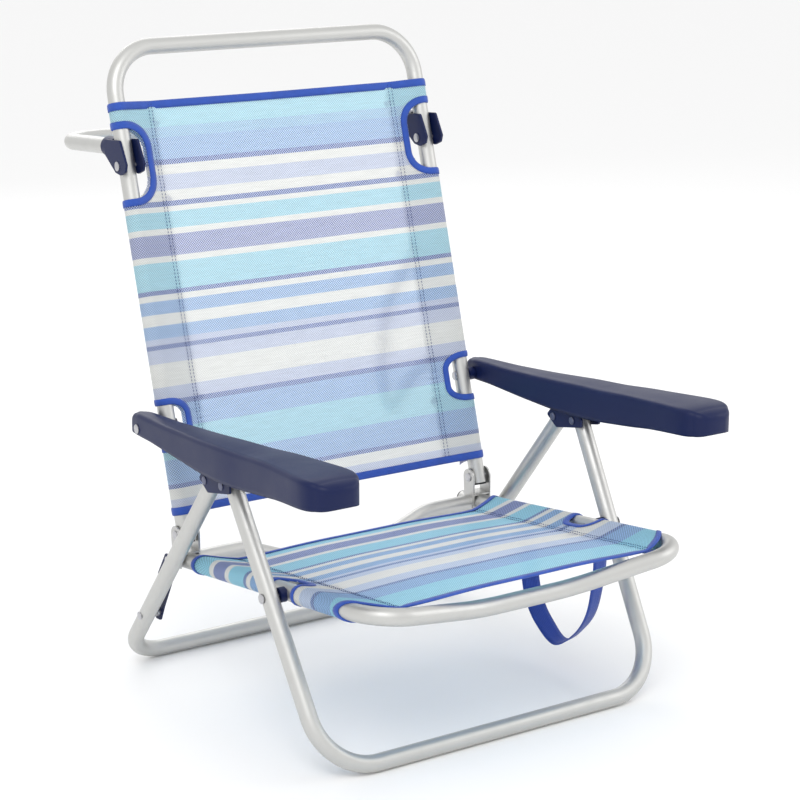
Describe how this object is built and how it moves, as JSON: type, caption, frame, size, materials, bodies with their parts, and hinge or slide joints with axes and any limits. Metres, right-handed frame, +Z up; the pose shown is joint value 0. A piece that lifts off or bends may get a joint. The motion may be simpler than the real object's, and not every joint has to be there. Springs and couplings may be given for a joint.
{
  "type": "folding_beach_chair",
  "caption": "Low folding beach chair with a striped sling seat and back, plastic armrests, reclining back and a swing-out rear prop bar",
  "frame": {"origin": "bottom centre of the chair's bounding box, on the floor, with the chair set up and the rear prop bar swung out", "axes": "+X towards the sitter's left, parallel to every hinge axis; +Y backwards, away from where the sitter faces; +Z up, with the floor bars standing on Z = 0"},
  "size_m": [0.632, 0.8011, 0.836],
  "materials": {
    "aluminium_tube": "satin",
    "bracket_metal": "satin",
    "rivet_metal": "satin",
    "black_plastic": "matte",
    "navy_plastic": "satin",
    "striped_fabric": "woven",
    "blue_webbing": "woven"
  },
  "bodies": {
    "seat": {"seat_frame": "aluminium_tube", "seat_crossbar": "aluminium_tube", "seat_rail_caps": "black_plastic", "hinge_bracket_left": "bracket_metal", "hinge_bracket_right": "bracket_metal", "seat_fabric": "striped_fabric", "seat_sleeves": "striped_fabric", "leg_spacers": "navy_plastic", "seat_pivot_rivets": "rivet_metal", "link_upper_rivets": "rivet_metal", "hinge_pins": "rivet_metal", "seat_strap": "blue_webbing"},
    "back": {"back_frame": "aluminium_tube", "back_frame_caps": "black_plastic", "back_fabric": "striped_fabric", "back_sleeves": "striped_fabric", "back_strap": "blue_webbing", "arm_spacers": "navy_plastic", "arm_pivot_rivets": "rivet_metal", "prop_rivets": "rivet_metal"},
    "armrests": {"armrest_left": "navy_plastic", "armrest_right": "navy_plastic", "armrest_rack_left": "navy_plastic", "armrest_rack_right": "navy_plastic"},
    "prop": {"prop_tube": "aluminium_tube", "prop_clevis_left": "navy_plastic", "prop_clevis_right": "navy_plastic"},
    "front_leg_set": {"front_leg": "aluminium_tube", "front_leg_caps": "black_plastic", "front_top_rivets": "rivet_metal"},
    "leg_brackets": {"leg_bracket_left": "navy_plastic", "leg_bracket_right": "navy_plastic", "rack_pins": "rivet_metal", "rear_top_rivets": "rivet_metal"},
    "rear_leg_set": {"rear_leg": "aluminium_tube", "rear_leg_caps": "black_plastic", "leg_studs": "rivet_metal"},
    "links": {"link_plate_left": "navy_plastic", "link_plate_right": "navy_plastic", "link_lower_studs": "rivet_metal"}
  },
  "joints": [
    {"name": "fold", "type": "hinge", "parent": "seat", "child": "front_leg_set", "pos_m": [0, -0.20323, 0.2049], "axis": [1, 0, 0], "range_deg": [0, 95]},
    {"name": "bracket_swing", "type": "hinge", "parent": "front_leg_set", "child": "leg_brackets", "pos_m": [0, -0.12953, 0.3305], "axis": [1, 0, 0], "range_deg": [-72, 0]},
    {"name": "rear_leg_swing", "type": "hinge", "parent": "leg_brackets", "child": "rear_leg_set", "pos_m": [0, -0.08803, 0.3275], "axis": [1, 0, 0], "range_deg": [0, 7]},
    {"name": "link_swing", "type": "hinge", "parent": "seat", "child": "links", "pos_m": [0, 0.07947, 0.1696], "axis": [1, 0, 0], "range_deg": [-115, 0]},
    {"name": "recline", "type": "hinge", "parent": "seat", "child": "back", "pos_m": [0, 0.06047, 0.2095], "axis": [1, 0, 0], "range_deg": [-74, 0]},
    {"name": "arm_tilt", "type": "hinge", "parent": "back", "child": "armrests", "pos_m": [0, 0.10087, 0.349], "axis": [1, 0, 0], "range_deg": [0, 50]},
    {"name": "prop_swing", "type": "hinge", "parent": "back", "child": "prop", "pos_m": [0, 0.19347, 0.6775], "axis": [1, 0, 0], "range_deg": [-92, 0]}
  ],
  "couplings": [
    {"joint": "bracket_swing", "follows": "fold", "ratio": -0.7474},
    {"joint": "rear_leg_swing", "follows": "fold", "ratio": 0.0632},
    {"joint": "link_swing", "follows": "fold", "ratio": -1.2},
    {"joint": "arm_tilt", "follows": "recline", "ratio": -0.669}
  ]
}
